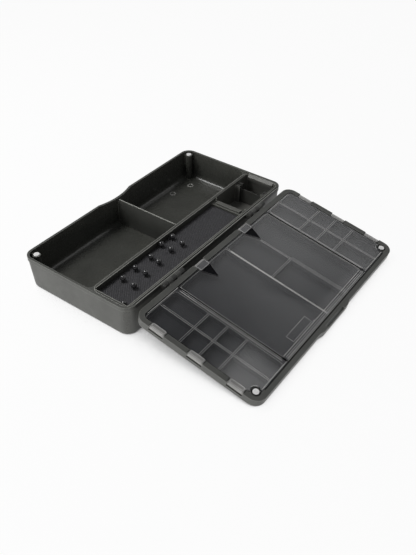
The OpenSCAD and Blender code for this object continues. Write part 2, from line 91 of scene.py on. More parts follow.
def node(tree, kind, sockets=(), **settings):
    """A node of that kind, with its settings and the values or links of its sockets."""
    made = tree.nodes.new(kind)
    for key, value in settings.items():
        setattr(made, key, value)
    for key, value in dict(sockets).items():
        if isinstance(value, bpy.types.NodeSocket):
            tree.links.new(value, made.inputs[key])
        else:
            made.inputs[key].default_value = value
    return made


def times(tree, first, second):
    return node(tree, "ShaderNodeMath", {0: first, 1: second}, operation="MULTIPLY").outputs[0]


def larger(tree, first, second):
    return node(tree, "ShaderNodeMath", {0: first, 1: second}, operation="MAXIMUM").outputs[0]


def place(tree, scale=(1, 1, 1)):
    """Object coordinates, stretched by scale."""
    coordinates = tree.nodes.new("ShaderNodeTexCoord").outputs["Object"]
    return node(tree, "ShaderNodeMapping", {"Vector": coordinates, "Scale": scale}).outputs[0]


def speckle(tree, scale, detail=3, stretch=(1, 1, 1)):
    """A noise value from 0 to 1 whose grains are about 1 / scale metres."""
    return node(tree, "ShaderNodeTexNoise", {
        "Vector": place(tree, stretch), "Scale": scale, "Detail": detail, "Roughness": 0.55,
    }).outputs["Fac"]


def ramp(tree, value, low, high, to_low, to_high):
    """Maps value from low..high to to_low..to_high."""
    return node(tree, "ShaderNodeMapRange", {
        "Value": value, "From Min": low, "From Max": high, "To Min": to_low, "To Max": to_high,
    }).outputs[0]


def scaled(colour, factor):
    """The colour, made darker or lighter."""
    return [min(1, c * factor) for c in colour]


def blend_colour(tree, share, first, second):
    """first where share is 0 and second where it is 1."""
    made = tree.nodes.new("ShaderNodeMix")
    made.data_type = "RGBA"
    share_in, first_in, second_in = made.inputs[0], made.inputs[6], made.inputs[7]
    for socket, value in ((share_in, share), (first_in, first), (second_in, second)):
        if isinstance(value, bpy.types.NodeSocket):
            tree.links.new(value, socket)
        else:
            socket.default_value = (*value, 1) if hasattr(value, "__len__") else value
    return made.outputs[2]


def edge_rub_and_highlight(tree, radius):
    """1 on a convex edge of about that radius, lightened there partly by wear and partly as a
    painted highlight, and 0 on flat faces.
    """
    rounded = node(tree, "ShaderNodeBevel", {"Radius": radius}, samples=4).outputs[0]
    flat = tree.nodes.new("ShaderNodeNewGeometry").outputs["Normal"]
    same = node(tree, "ShaderNodeVectorMath", {0: rounded, 1: flat}, operation="DOT_PRODUCT")
    return ramp(tree, same.outputs["Value"], *RUB_AND_HIGHLIGHT_RANGE, 0.0, 1.0)


def bump(tree, height, strength, distance):
    return node(tree, "ShaderNodeBump", {
        "Height": height, "Strength": strength, "Distance": distance,
    }).outputs[0]


def moulded_plastic(name, colour, roughness, grain=2600, depth=0.25, specular=0.5, rub_and_highlight=2.6):
    """Moulded plastic with a fine grain, faint clouds and edges made lighter by
    `rub_and_highlight`, partly as wear and partly as a painted highlight.
    """
    mat, tree, shine = shader(name)
    clouds = ramp(tree, speckle(tree, 28, 4), *PATCHES, 0.0, 1.0)
    body = blend_colour(tree, clouds, scaled(colour, 0.90), scaled(colour, 1.10))
    rubbed_and_highlighted = blend_colour(tree, edge_rub_and_highlight(tree, EDGE_RADIUS), body, scaled(colour, rub_and_highlight))
    tree.links.new(rubbed_and_highlighted, shine.inputs["Base Color"])
    dull = ramp(tree, speckle(tree, 90), 0.3, 0.7, roughness - 0.04, roughness + 0.05)
    tree.links.new(dull, shine.inputs["Roughness"])
    tree.links.new(bump(tree, speckle(tree, grain, 2), depth, 0.06 * MM), shine.inputs["Normal"])
    shine.inputs["Specular IOR Level"].default_value = specular
    return mat


def foam_rubber():
    """Black closed-cell foam: dull, with small pores."""
    mat, tree, shine = shader("foam_rubber")
    grains = ramp(tree, speckle(tree, 700), 0.35, 0.7, 0.0, 1.0)
    tint = blend_colour(tree, grains, (0.020, 0.020, 0.023), (0.058, 0.056, 0.062))
    tree.links.new(tint, shine.inputs["Base Color"])
    shine.inputs["Roughness"].default_value = 0.62
    shine.inputs["Sheen Weight"].default_value = 0.12
    tree.links.new(bump(tree, speckle(tree, 2200, 2), 0.5, 0.12 * MM), shine.inputs["Normal"])
    return mat


def ball_gloss():
    """Glossy black plastic with faint smears."""
    mat, tree, shine = shader("ball_gloss")
    smear = ramp(tree, speckle(tree, 240), 0.4, 0.7, 0.07, 0.13)
    tint = blend_colour(tree, speckle(tree, 60, 2), (0.008, 0.008, 0.009), (0.014, 0.014, 0.016))
    tree.links.new(tint, shine.inputs["Base Color"])
    tree.links.new(smear, shine.inputs["Roughness"])
    shine.inputs["Specular IOR Level"].default_value = 1
    shine.inputs["Coat Weight"].default_value = 1
    shine.inputs["Coat Roughness"].default_value = 0.04
    return mat


def bare_metal(name, colour, low, high, stretch=(1, 1, 1), scale=900, metallic=1.0):
    """Metal, or a duller plating, whose fine lines run from low to high roughness."""
    mat, tree, shine = shader(name)
    lines = speckle(tree, scale, 4, stretch)
    tint = blend_colour(tree, lines, scaled(colour, 0.85), colour)
    tree.links.new(tint, shine.inputs["Base Color"])
    tree.links.new(ramp(tree, lines, 0.3, 0.7, low, high), shine.inputs["Roughness"])
    shine.inputs["Metallic"].default_value = metallic
    tree.links.new(bump(tree, lines, 0.15, 0.03 * MM), shine.inputs["Normal"])
    return mat


def smoked_clear(name, colour, alpha, roughness, specular=0.5, ior=1.5):
    """Smoked clear plastic: what lies behind shows through, under a soft, scratched gloss.

    Alpha thins the gloss too, so a thin film needs a higher index to keep its reflections."""
    mat, tree, shine = shader(name)
    haze = ramp(tree, speckle(tree, 35, 4), *PATCHES, 0.0, 1.0)
    tint = blend_colour(tree, haze, scaled(colour, 0.85), scaled(colour, 1.15))
    tree.links.new(tint, shine.inputs["Base Color"])
    scratches = speckle(tree, 160, 4, (1, 9, 9))
    dull = ramp(tree, scratches, 0.45, 0.75, roughness, roughness + 0.1)
    tree.links.new(dull, shine.inputs["Roughness"])
    tree.links.new(bump(tree, speckle(tree, 38, 2), 0.05, 0.4 * MM), shine.inputs["Normal"])
    shine.inputs["Alpha"].default_value = alpha
    shine.inputs["IOR"].default_value = ior
    shine.inputs["Specular IOR Level"].default_value = specular
    return mat


BOX_PLASTIC = moulded_plastic("box_plastic", (0.076, 0.077, 0.070), 0.46)
INNER_PLASTIC = moulded_plastic(
    "inner_plastic", (0.058, 0.059, 0.052), 0.27, grain=SMOOTH_GRAIN, depth=0.07)
LID_PLASTIC = moulded_plastic("lid_plastic", (0.074, 0.075, 0.069), 0.44)
BAY_PLASTIC = moulded_plastic(
    "bay_plastic", (0.046, 0.048, 0.053), 0.34, grain=SMOOTH_GRAIN, depth=0.15)
# a pale colour that paints highlights on the bays' rims and on the ejector marks
RIM_HIGHLIGHT = moulded_plastic(
    "bay_rim_highlights", (0.58, 0.575, 0.55), 0.3, grain=SMOOTH_GRAIN, depth=0.1, rub_and_highlight=1.2)
TRAY_PLASTIC = moulded_plastic("tray_plastic", (0.066, 0.067, 0.060), 0.38)
# a lighter colour that paints highlight lines on edges and ribs
HIGHLIGHT_PLASTIC = moulded_plastic("highlight_lines", (0.24, 0.24, 0.22), 0.34, rub_and_highlight=1.3)
BAND_PLASTIC = moulded_plastic(
    "bay_band_painted_light", (0.17, 0.172, 0.17), 0.34, grain=SMOOTH_GRAIN, depth=0.1, rub_and_highlight=1.3)
BIN_PLASTIC = moulded_plastic(
    "bin_plastic", (0.115, 0.115, 0.105), 0.36, grain=SMOOTH_GRAIN, depth=0.12)
PLATE_PLASTIC = moulded_plastic("plate_plastic", (0.066, 0.067, 0.061), 0.34)
SHADE_PLASTIC = moulded_plastic("shaded_plastic", (0.040, 0.040, 0.037), 0.5, rub_and_highlight=1.6)
# near-black that paints shade into gaps, seams and hollows
SHADE_PAINT = moulded_plastic(
    "painted_shade", (0.010, 0.010, 0.010), 0.55, specular=0.12, rub_and_highlight=1.2)
PALE_HIGHLIGHT = moulded_plastic(
    "pale_highlight", (0.90, 0.89, 0.86), 0.2, grain=SMOOTH_GRAIN, depth=0.1, specular=0.9,
    rub_and_highlight=1.1)
FOAM = foam_rubber()
BALL = ball_gloss()
STEEL = bare_metal("drawn_steel", (0.56, 0.57, 0.59), 0.22, 0.36, stretch=(1, 1, 12))
# nearly white and barely metallic: the magnets' pale plating with its bright reflection painted
# into the colour
NICKEL = bare_metal("nickel", (0.97, 0.965, 0.955), 0.25, 0.4, scale=1600, metallic=0.12)
CLEAR = smoked_clear("smoked_clear", (0.06, 0.06, 0.064), alpha=0.18, roughness=0.1, ior=2.9)
CLIP_CLEAR = smoked_clear("smoked_clip", (0.33, 0.325, 0.315), alpha=0.66, roughness=0.2)
# paints highlights on the clips' ridges
CLIP_HIGHLIGHT = smoked_clear("clip_highlights", (0.60, 0.595, 0.58), alpha=0.75, roughness=0.18)
# pale clear plastic that paints highlights along the covers' lines
HIGHLIGHT_CLEAR = smoked_clear("cover_lines", (0.80, 0.79, 0.77), alpha=0.8, roughness=0.16)
TAB_CLEAR = smoked_clear("smoked_tab", (0.15, 0.15, 0.155), alpha=0.75, roughness=0.2)
# near-black clear plastic: the wedges, and painted shade on the covers' edges
WEDGE_AND_EDGE_SHADE = smoked_clear(
    "wedge_and_edge_shade", (0.004, 0.004, 0.005), alpha=0.93, roughness=0.4, specular=0.05)


# ---------------------------------------------------------------- meshes
SHARP_ANGLE = 32       # degrees from which an edge of the CAD's shape is a real edge
JOIN_DISTANCE = 0.02 * MM
FLAT_ANGLE = 0.6       # degrees up to which neighbouring faces are one
CUT_DISTANCE = 0.005 * MM
BEAD_STEPS = 6         # faces across a bead's round top
CORNER_STEPS = 6       # and along a round corner of its path
MITRE_LIMIT = 0.4      # keeps a bead's sharp corners short


def new_piece(name, shape, body, material):
    """Turns a bmesh into a piece that rides on that body."""
    mesh = bpy.data.meshes.new(name)
    shape.to_mesh(mesh)
    shape.free()
    mesh.materials.append(material)
    piece = bpy.data.objects.new(name, mesh)
    bpy.context.scene.collection.objects.link(piece)
    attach(piece, body)
    return piece


def smooth(piece, angle):
    """Shades a piece smooth, with edges sharper than that many degrees left sharp."""
    for face in piece.data.polygons:
        face.use_smooth = True
    piece.data.set_sharp_from_angle(angle=math.radians(angle))


def soften(piece, width):
    """Rounds the sharp edges of a moulded piece."""
    edge = piece.modifiers.new("rounded_edges", "BEVEL")
    edge.width = width
    edge.segments = 2
    edge.limit_method = "ANGLE"
    edge.angle_limit = math.radians(SHARP_ANGLE)
    edge.use_clamp_overlap = True
    edge.harden_normals = True
    edge.miter_outer = "MITER_ARC"


def cleaned(source):
    """A copy of a node's mesh with its doubled corners joined and its flat faces whole."""
    shape = bmesh.new()
    shape.from_mesh(frame["nodes"][source].data)
    bmesh.ops.remove_doubles(shape, verts=shape.verts, dist=JOIN_DISTANCE)
    bmesh.ops.dissolve_limit(
        shape, angle_limit=math.radians(FLAT_ANGLE), verts=shape.verts, edges=shape.edges,
        delimit={"NORMAL"},
    )
    return shape


def dressed(source, body, material, width, cuts=()):
    """The node's own shape with edges rounded by that width, in place of the node.

    Each cut, a point and a direction, parts faces there so that they can be painted."""
    shape = cleaned(source)
    for point, way in cuts:
        parts = shape.verts[:] + shape.edges[:] + shape.faces[:]
        bmesh.ops.bisect_plane(shape, geom=parts, dist=CUT_DISTANCE, plane_co=point, plane_no=way)
    piece = new_piece(source + "_shell", shape, body, material)
    # the CAD mesh's own normals no longer fit
    if "custom_normal" in piece.data.attributes:
        piece.data.attributes.remove(piece.data.attributes["custom_normal"])
    smooth(piece, SHARP_ANGLE)
    soften(piece, width)
    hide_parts(source)
    return piece


def repaint(piece, material, wanted):
    """Gives the faces whose centre is wanted another material."""
    piece.data.materials.append(material)
    index = len(piece.data.materials) - 1
    for face in piece.data.polygons:
        if wanted(face.center):
            face.material_index = index


def on_lid(point):
    """A point of the frame in the lid's own lines."""
    return LID.inverted() @ point


def paint(material, *names):
    """Gives CAD nodes that keep their shape their material."""
    for name in names:
        data = frame["nodes"][name].data
        data.materials.clear()
        data.materials.append(material)


def bead(shape, path, line, base=0.0, closed=False, at=Matrix()):
    """Adds a low round bead that follows a flat path of (x, y) points, with mitred corners.

    The line is the bead's width and rise, and it stands at the height `base`."""
    width, rise = line
    count = len(path)
    points = [Vector(p) for p in path]
    rings = []
    for i, p in enumerate(points):
        before = points[i - 1] if closed or i else p
        after = points[(i + 1) % count] if closed or i < count - 1 else p
        ways = [w.normalized() for w in (p - before, after - p) if w.length > 0]
        along = (ways[0] + ways[-1]).normalized()
        across = Vector((-along.y, along.x)) / max(MITRE_LIMIT, along.dot(ways[0]))
        ring = []
        for k in range(BEAD_STEPS + 1):
            a = math.pi * k / BEAD_STEPS
            side = p + across * (math.cos(a) * width / 2)
            ring.append(shape.verts.new(at @ Vector((side.x, side.y, base + math.sin(a) * rise))))
        rings.append(ring)
    pairs = list(zip(rings, rings[1:])) + ([(rings[-1], rings[0])] if closed else [])
    for first, second in pairs:
        for k in range(BEAD_STEPS):
            shape.faces.new((first[k], first[k + 1], second[k + 1], second[k]))
        shape.faces.new((first[-1], first[0], second[0], second[-1]))
    if not closed:
        shape.faces.new(rings[0])
        shape.faces.new(rings[-1][::-1])


def round_path(x0, y0, x1, y1, r):
    """A rectangle's outline with four round corners."""
    corners = ((x1 - r, y1 - r), (x0 + r, y1 - r), (x0 + r, y0 + r), (x1 - r, y0 + r))
    path = []
    for turn, (cx, cy) in enumerate(corners):
        for k in range(CORNER_STEPS + 1):
            a = math.pi / 2 * (turn + k / CORNER_STEPS)
            path.append((cx + r * math.cos(a), cy + r * math.sin(a)))
    return path


def circle_path(cx, cy, r, steps=40):
    turns = [2 * math.pi * k / steps for k in range(steps)]
    return [(cx + r * math.cos(a), cy + r * math.sin(a)) for a in turns]


def beads_piece(name, shape, body, material):
    """A piece made of beads, shaded round."""
    bmesh.ops.recalc_face_normals(shape, faces=shape.faces)
    piece = new_piece(name, shape, body, material)
    smooth(piece, angle=50)


# ---------------------------------------------------------------- base and tray
RIM_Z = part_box("base_magnet_near")[1].z
FLOOR_Z = 3 * MM
HOLLOW_X = BOX_HALF - 2.6 * MM
HOLLOW_Y = (-90.5 * MM, 88.5 * MM)
HOLLOW_Z = (2.8 * MM, RIM_Z - 2.2 * MM)
HINGE_WALL_X = 166 * MM
HINGE_WALL_Y = 90.8 * MM
base_shell = dressed("base_tub", "base", BOX_PLASTIC, width=0.5 * MM)


def inside_base(p):
    """True in the hollow of the front compartments and of the strip, below the rim."""
    return (abs(p.x) < HOLLOW_X and HOLLOW_Y[0] < p.y < HOLLOW_Y[1]
            and HOLLOW_Z[0] < p.z < HOLLOW_Z[1])


def on_hinge_wall(p):
    """True on the outer wall by the hinges, which lies in the lid's shade."""
    return p.y > HINGE_WALL_Y and abs(p.x) < HINGE_WALL_X


repaint(base_shell, INNER_PLASTIC, inside_base)
repaint(base_shell, SHADE_PLASTIC, on_hinge_wall)

tray_shell = dressed("rig_tray", "tray", TRAY_PLASTIC, width=0.35 * MM)
tray_low, tray_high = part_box("rig_tray")
foam_low, foam_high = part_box("rig_foam")
BAR_LEN = 5 * MM
BIN_IN_X = 0.5 * MM
BIN_IN_Y = 2 * MM
LIP_DEPTH = 1.5 * MM
SKIN = 0.1 * MM         # faces this near a side belong to it


def in_a_bin(p):
    """True in the liner's two bins, beyond its grip bar."""
    return (tray_low.x + BIN_IN_X < p.x < foam_low.x - BAR_LEN
            and tray_low.y + BIN_IN_Y < p.y < tray_high.y - BIN_IN_Y
            and p.z < tray_high.z - LIP_DEPTH)


def on_lip_side(p):
    """True on the sides of the liner's lip that face the hinges and the near end."""
    return p.z > tray_high.z - LIP_DEPTH and (
        p.y > tray_high.y - SKIN or p.x > tray_high.x - SKIN)


repaint(tray_shell, BIN_PLASTIC, in_a_bin)
# the lip's sides that face the hinges and the near end, painted dark as shade in the gaps
repaint(tray_shell, SHADE_PAINT, on_lip_side)

# painted highlight lines along both edges of the tray's lip
LINE_IN = 0.4 * MM
LINE_SINK = 0.01 * MM
HIGHLIGHT_LINE = (0.65 * MM, 0.09 * MM)
LIP_CORNER = 11.4 * MM
lip_z = tray_high.z - LINE_SINK
lip_lines = bmesh.new()
outer_edge = round_path(tray_low.x + LINE_IN, tray_low.y + LINE_IN,
                        tray_high.x - LINE_IN, tray_high.y - LINE_IN, LIP_CORNER)
inner_edge = [(foam_low.x, foam_low.y - LINE_IN), (foam_high.x + LINE_IN, foam_low.y - LINE_IN),
              (foam_high.x + LINE_IN, foam_high.y + LINE_IN), (foam_low.x, foam_high.y + LINE_IN)]
bead(lip_lines, outer_edge, HIGHLIGHT_LINE, lip_z, closed=True)
bead(lip_lines, inner_edge, HIGHLIGHT_LINE, lip_z)
beads_piece("tray_lip_lines", lip_lines, "tray", HIGHLIGHT_PLASTIC)

dressed("cross_divider", "divider", PLATE_PLASTIC, width=0.4 * MM)
plate = dressed("tray_plate", "plate", PLATE_PLASTIC, width=0.35 * MM)
plate_low, plate_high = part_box("tray_plate")
divider_low, divider_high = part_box("cross_divider")
PLATE_TOP = 0.2 * MM    # how far down the painted shadow on the plate's top reaches
POST_REACH = 4 * MM
POST_BELOW = 3 * MM
POST_APART = 8 * MM


def on_plate_posts(p):
    """True on the liner's posts and ribs at both ends of the small plate."""
    return (plate_low.x - POST_REACH < p.x < plate_high.x + POST_REACH
            and p.z < tray_high.z - POST_BELOW
            and abs(p.y - (plate_low.y + plate_high.y) / 2) > POST_APART)


# the plate's top painted dark as the shadow in its slot
repaint(plate, SHADE_PAINT, lambda p: p.z > plate_high.z - PLATE_TOP)
# the posts and ribs by the plate, painted darker as shade
repaint(tray_shell, SHADE_PLASTIC, on_plate_posts)

# a painted highlight line along the top of the loose divider
DIVIDER_LINE = (1.3 * MM, 0.12 * MM)
DIVIDER_IN = 1 * MM
top_line = bmesh.new()
divider_x = (divider_low.x + divider_high.x) / 2
bead(top_line, [(divider_x, divider_low.y + DIVIDER_IN), (divider_x, divider_high.y - DIVIDER_IN)],
     DIVIDER_LINE, divider_high.z - LINE_SINK)
beads_piece("divider_line", top_line, "divider", HIGHLIGHT_PLASTIC)

# along the base's rim by the hinges, a painted highlight line, and painted shade in the seam
# between it and the liner
RIM_LINE_X = 164 * MM
RIM_LINE_Y = 91.2 * MM
RIM_SEAM_X = 166 * MM
RIM_SEAM_Y = 89.5 * MM
RIM_SEAM = (1 * MM, 0.05 * MM)
rim_line = bmesh.new()
bead(rim_line, [(-RIM_LINE_X, RIM_LINE_Y), (RIM_LINE_X, RIM_LINE_Y)],
     HIGHLIGHT_LINE, RIM_Z - LINE_SINK)
beads_piece("base_rim_line", rim_line, "base", HIGHLIGHT_PLASTIC)
rim_seam = bmesh.new()
bead(rim_seam, [(-RIM_SEAM_X, RIM_SEAM_Y), (RIM_SEAM_X, RIM_SEAM_Y)],
     RIM_SEAM, RIM_Z - LINE_SINK)
beads_piece("base_rim_seam", rim_seam, "base", SHADE_PAINT)

# the ejector marks that the mould leaves on the far compartment's floor, painted pale as
# highlights on their rims
EJECTORS = ((-149 * MM, -62 * MM), (-112 * MM, -70 * MM))
EJECTOR_R = 4.2 * MM
EJECTOR_LINE = (0.8 * MM, 0.3 * MM)
marks = bmesh.new()
for x, y in EJECTORS:
    bead(marks, circle_path(x, y, EJECTOR_R), EJECTOR_LINE, FLOOR_Z, closed=True)
beads_piece("ejector_marks", marks, "base", RIM_HIGHLIGHT)


# ---------------------------------------------------------------- foam and pins
pins = {}
for name in frame["nodes"]:
    if name.startswith("pin_head_"):
        low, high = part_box(name)
        pins[name.removeprefix("pin_head_")] = (low + high) / 2
ball_low, ball_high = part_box("pin_head_1")
BALL_R = (ball_high.x - ball_low.x) / 2
FOAM_STEP = 0.5 * MM
FOAM_INSET = 0.1 * MM
FOAM_BELOW = 0.05 * MM
MESH_PITCH = 3.3 * MM
GROOVE_W = 0.42
GROOVE_DEPTH = 0.85 * MM
EDGE_SAG = 0.5 * MM
EDGE_REACH = 0.8 * MM
PIN_SAG = 0.7 * MM
PIN_REACH = 1.5 * MM
BED_GAP = 0.2 * MM


def foam_height(x, y):
    """The foam's top: pillows between slanting grooves, drawn down a little round each pin."""
    u = abs(math.sin(math.pi * (x + y) / MESH_PITCH))
    v = abs(math.sin(math.pi * (x - y) / MESH_PITCH))
    near = min(u, v)
    pillow = 1 - math.exp(-(near / GROOVE_W) ** 2)
    z = foam_high.z - FOAM_BELOW - GROOVE_DEPTH * (1 - pillow)
    edge = min(x - foam_low.x, foam_high.x - x, y - foam_low.y, foam_high.y - y)
    z -= EDGE_SAG * math.exp(-edge / EDGE_REACH)
    for centre in pins.values():
        away = math.hypot(x - centre.x, y - centre.y)
        if away > 2 * BALL_R:
            continue
        bed = BALL_R + BED_GAP
        if centre.z - bed < foam_high.z and away < bed:
            z = min(z, centre.z - math.sqrt(bed * bed - away * away))
        else:
            z -= PIN_SAG * math.exp(-(away / PIN_REACH) ** 2)
    return z


def make_foam():
    """The foam block: an embossed top over plain upright sides."""
    shape = bmesh.new()
    across = round((foam_high.y - foam_low.y) / FOAM_STEP)
    along = round((foam_high.x - foam_low.x) / FOAM_STEP)
    x0, x1 = foam_low.x + FOAM_INSET, foam_high.x - FOAM_INSET
    y0, y1 = foam_low.y + FOAM_INSET, foam_high.y - FOAM_INSET
    rows = []
    for i in range(along + 1):
        x = x0 + (x1 - x0) * i / along
        rows.append([])
        for j in range(across + 1):
            y = y0 + (y1 - y0) * j / across
            rows[-1].append(shape.verts.new((x, y, foam_height(x, y))))
    for first, second in zip(rows, rows[1:]):
        for j in range(across):
            shape.faces.new((first[j], second[j], second[j + 1], first[j + 1]))
    rim = (rows[0] + [row[-1] for row in rows[1:]]
           + rows[-1][-2::-1] + [row[0] for row in rows[-2:0:-1]])
    foot = [shape.verts.new((v.co.x, v.co.y, foam_low.z)) for v in rim]
    for k in range(len(rim)):
        after = (k + 1) % len(rim)
        shape.faces.new((rim[k], rim[after], foot[after], foot[k]))
    shape.faces.new(foot)
    bmesh.ops.recalc_face_normals(shape, faces=shape.faces)
    piece = new_piece("foam_block", shape, "tray", FOAM)
    smooth(piece, angle=60)
    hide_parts("rig_foam")


def turned(profile, centre, segments=40):
    """A bmesh of a profile of (radius, height) points turned about the upright line at centre.

    A radius of 0 gives one point on that line."""
    shape = bmesh.new()
    turns = [2 * math.pi * k / segments for k in range(segments)]
    rings = []
    for radius, height in profile:
        z = centre.z + height
        if radius == 0:
            rings.append([shape.verts.new((centre.x, centre.y, z))])
        else:
            rings.append([shape.verts.new((
                centre.x + radius * math.cos(a), centre.y + radius * math.sin(a), z))
                for a in turns])
    for low, high in zip(rings, rings[1:]):
        for k in range(segments):
            after = (k + 1) % segments
            if len(low) == 1:
                shape.faces.new((low[0], high[after], high[k]))
            elif len(high) == 1:
                shape.faces.new((low[k], low[after], high[0]))
            else:
                shape.faces.new((low[k], low[after], high[after], high[k]))
    bmesh.ops.recalc_face_normals(shape, faces=shape.faces)
    return shape


HEAD_STEPS = 40
HEAD_FROM = -78        # degrees, from the ball's middle down to the socket of the shank
PARTING = 0.05 * MM    # how far the parting line stands out of the ball
PARTING_WIDTH = 2.5    # degrees
GATE = 0.12 * MM       # the dimple that the mould's gate leaves on top
GATE_WIDTH = 9         # degrees
SOCKET_R = (0.85 * MM, 0.95 * MM)
SOCKET_DEPTH = 0.3 * MM
TIP_SHARE = 0.25       # of the shank's radius, at its blunt point
TIP_BLUNT = 0.5 * MM
TIP_LEN = 3 * MM


def make_pin(tag, centre):
    """A ball head with its parting line and gate mark, and a shank that ends in a point."""
    head = []
    for k in range(HEAD_STEPS):
        degrees = HEAD_FROM + (90 - HEAD_FROM) * k / HEAD_STEPS
        a = math.radians(degrees)
        r = BALL_R - PARTING + PARTING * math.exp(-(degrees / PARTING_WIDTH) ** 2)
        gate = GATE * math.exp(-((90 - degrees) / GATE_WIDTH) ** 2)
        head.append((r * math.cos(a), r * math.sin(a) - gate))
    mouth = head[0][1]
    socket = [(0, mouth + SOCKET_DEPTH), (SOCKET_R[0], mouth + SOCKET_DEPTH), (SOCKET_R[1], mouth)]
    crown = [(0, BALL_R - PARTING - GATE)]
    ball = new_piece(f"pin_ball_{tag}", turned(socket + head + crown, centre), f"pin_{tag}",
                     BALL)
    smooth(ball, angle=50)
    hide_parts(f"pin_head_{tag}")
    low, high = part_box(f"pin_shank_{tag}")
    radius = (high.x - low.x) / 2
    foot = low.z - centre.z
    steel = [(0, foot), (radius * TIP_SHARE, foot + TIP_BLUNT), (radius, foot + TIP_LEN),
             (radius, 0.0), (0, 0.0)]
    shank = new_piece(f"pin_point_{tag}", turned(steel, centre, 20), f"pin_{tag}",
                      STEEL)
    smooth(shank, angle=40)
    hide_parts(f"pin_shank_{tag}")


make_foam()
for tag, centre in pins.items():
    make_pin(tag, centre)


# ---------------------------------------------------------------- lid, bays and their walls
RECESS_H = -2 * MM
RECESS_S = (7.6 * MM, 176.4 * MM)
RECESS_X = 172.6 * MM
BAY_FLOOR = -10 * MM
MID_BAY = 103 * MM
END_BAY = (111 * MM, 171.2 * MM)
BAY_S = (10.6 * MM, 173.4 * MM)
BAYS_X = BOX_HALF - 8.4 * MM
BAYS_S = (8.6 * MM, LID_WIDTH - 8.6 * MM)
BAYS_H = (BAY_FLOOR - 0.5 * MM, -0.8 * MM)
WALL_TOP = -2.2 * MM
WALL_W = 3 * MM
CELL_ROWS = (63 * MM, 92 * MM, 121 * MM)

lid_shell = dressed("lid_frame", "lid", LID_PLASTIC, width=0.45 * MM)


def in_a_bay(p):
    """True inside the lid's bays and their recess, below the lid's inner face."""
    q = on_lid(p)
    return abs(q.x) < BAYS_X and BAYS_S[0] < q.y < BAYS_S[1] and BAYS_H[0] < q.z < BAYS_H[1]


repaint(lid_shell, BAY_PLASTIC, in_a_bay)

GROOVE_RIM = 0.6 * MM       # the rim left at each side of the groove along a wall's top
GROOVE_RIM_SHARE = 0.3      # and the most of the wall's width that it takes
WALL_GROOVE = 0.7 * MM
WALL_RIM = 0.25 * MM        # how far down the painted highlight on a wall's rim reaches
OUTER_ROUND = (0.25 * MM, 0.3 * MM)
INNER_ROUND = (0.15 * MM, 0.2 * MM)


def wall(shape, x0, s0, x1, s1):
    """Adds an upright wall of the lid's bays, with a shallow groove along its rounded top."""
    wide, long = sorted((x1 - x0, s1 - s0))
    along_s = (s1 - s0) > (x1 - x0)
    half = wide / 2
    inner = half - min(GROOVE_RIM, wide * GROOVE_RIM_SHARE)
    side = [
        (half, BAY_FLOOR), (half, WALL_TOP - OUTER_ROUND[1]), (half - OUTER_ROUND[0], WALL_TOP),
        (inner + INNER_ROUND[0], WALL_TOP), (inner, WALL_TOP - INNER_ROUND[1]),
        (inner, WALL_TOP - WALL_GROOVE),
    ]
    profile = side + [(-a, h) for a, h in side[::-1]]
    cx, cs = (x0 + x1) / 2, (s0 + s1) / 2
    ends = []
    for way in (-1, 1):
        reach = way * long / 2
        ring = []
        for a, h in profile:
            x, s = (cx + a, cs + reach) if along_s else (cx + reach, cs + a)
            ring.append(shape.verts.new(LID @ Vector((x, s, h))))
        ends.append(ring)
    count = len(profile)
    for k in range(count):
        after = (k + 1) % count
        shape.faces.new((ends[0][k], ends[0][after], ends[1][after], ends[1][k]))
    shape.faces.new(ends[0])
    shape.faces.new(ends[1][::-1])


def bay_walls(name, source, walls):
    """The walls of one bay, in place of their node, with a painted highlight on their rims."""
    shape = bmesh.new()
    for x0, s0, x1, s1 in walls:
        wall(shape, x0, s0, x1, s1)
    bmesh.ops.recalc_face_normals(shape, faces=shape.faces)
    piece = new_piece(name, shape, "lid", BAY_PLASTIC)
    smooth(piece, angle=40)
    repaint(piece, RIM_HIGHLIGHT, lambda p: on_lid(p).z > WALL_TOP - WALL_RIM)
    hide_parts(source)
    return piece


def end_bay(side):
    """The walls of an end bay, which part it into eight cells: x0, s0, x1 and s1 of each."""
    middle = sum(END_BAY) / 2
    half = WALL_W / 2
    walls = [(middle - half, BAY_S[0], middle + half, BAY_S[1])]
    for row in CELL_ROWS:
        walls.append((END_BAY[0], row - half, middle - half, row + half))
        walls.append((middle + half, row - half, END_BAY[1], row + half))
    if side < 0:
        walls = [(-x1, s0, -x0, s1) for x0, s0, x1, s1 in walls]
    return walls


BAND_W = 6.4 * MM
CROSS_S = LID_WIDTH * 0.467
SHORT_WALL_FROM = 35.7 * MM
band_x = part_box("middle_bay_walls")[0].x


def middle_bay():
    """The walls of the middle bay: long, short, wide and cross wall."""
    half = WALL_W / 2
    short_x = band_x + BAND_W - half
    return [
        (-half, BAY_S[0], half, BAY_S[1]),
        (short_x - half, SHORT_WALL_FROM, short_x + half, CROSS_S),
        (short_x + half - BAND_W, CROSS_S, short_x + half, BAY_S[1]),
        (short_x + half, CROSS_S - half, -half, CROSS_S + half),
    ]


def on_band(p):
    """True on the top of the middle bay's wide wall."""
    q = on_lid(p)
    return (q.z > WALL_TOP - 0.8 * MM and q.y > CROSS_S + 2 * MM
            and band_x - 1 * MM < p.x < band_x + BAND_W + 1.1 * MM)


bay_walls("near_bay_walls", "near_cell_grid", end_bay(1))
bay_walls("far_bay_walls", "far_cell_grid", end_bay(-1))
mid_walls = bay_walls("mid_bay_walls", "middle_bay_walls", middle_bay())
# the wide wall's top, painted lighter as painted light
repaint(mid_walls, BAND_PLASTIC, on_band)

